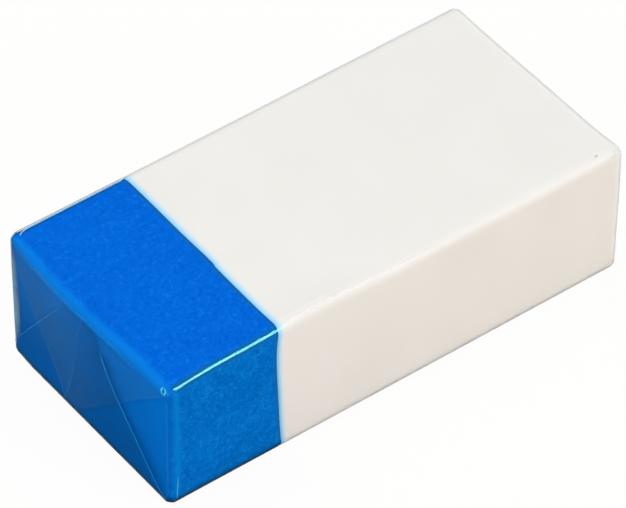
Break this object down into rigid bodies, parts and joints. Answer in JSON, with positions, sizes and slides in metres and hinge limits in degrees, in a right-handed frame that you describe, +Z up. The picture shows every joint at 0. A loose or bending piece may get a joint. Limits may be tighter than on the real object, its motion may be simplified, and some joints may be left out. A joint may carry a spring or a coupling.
{
  "type": "rubber eraser",
  "caption": "Block rubber eraser with a blue end bonded to a white body, tightly wrapped in clear film with folded ends.",
  "frame": {"origin": "middle of the flat underside of the wrapper, where the eraser rests", "axes": "+X along the block from the blue end to the white end, +Z up through the block's smallest size, +Y to the back, where the wrapper laps over itself"},
  "size_m": [0.04, 0.0192, 0.0117],
  "materials": {
    "white_rubber": "smooth white vinyl rubber, faintly warm",
    "blue_rubber": "smooth blue vinyl rubber, faintly mottled",
    "clear_film": "thin clear glossy film"
  },
  "bodies": {
    "root": {"white_block": "white_rubber", "blue_block": "blue_rubber", "clear_wrapper": "clear_film"}
  },
  "joints": []
}
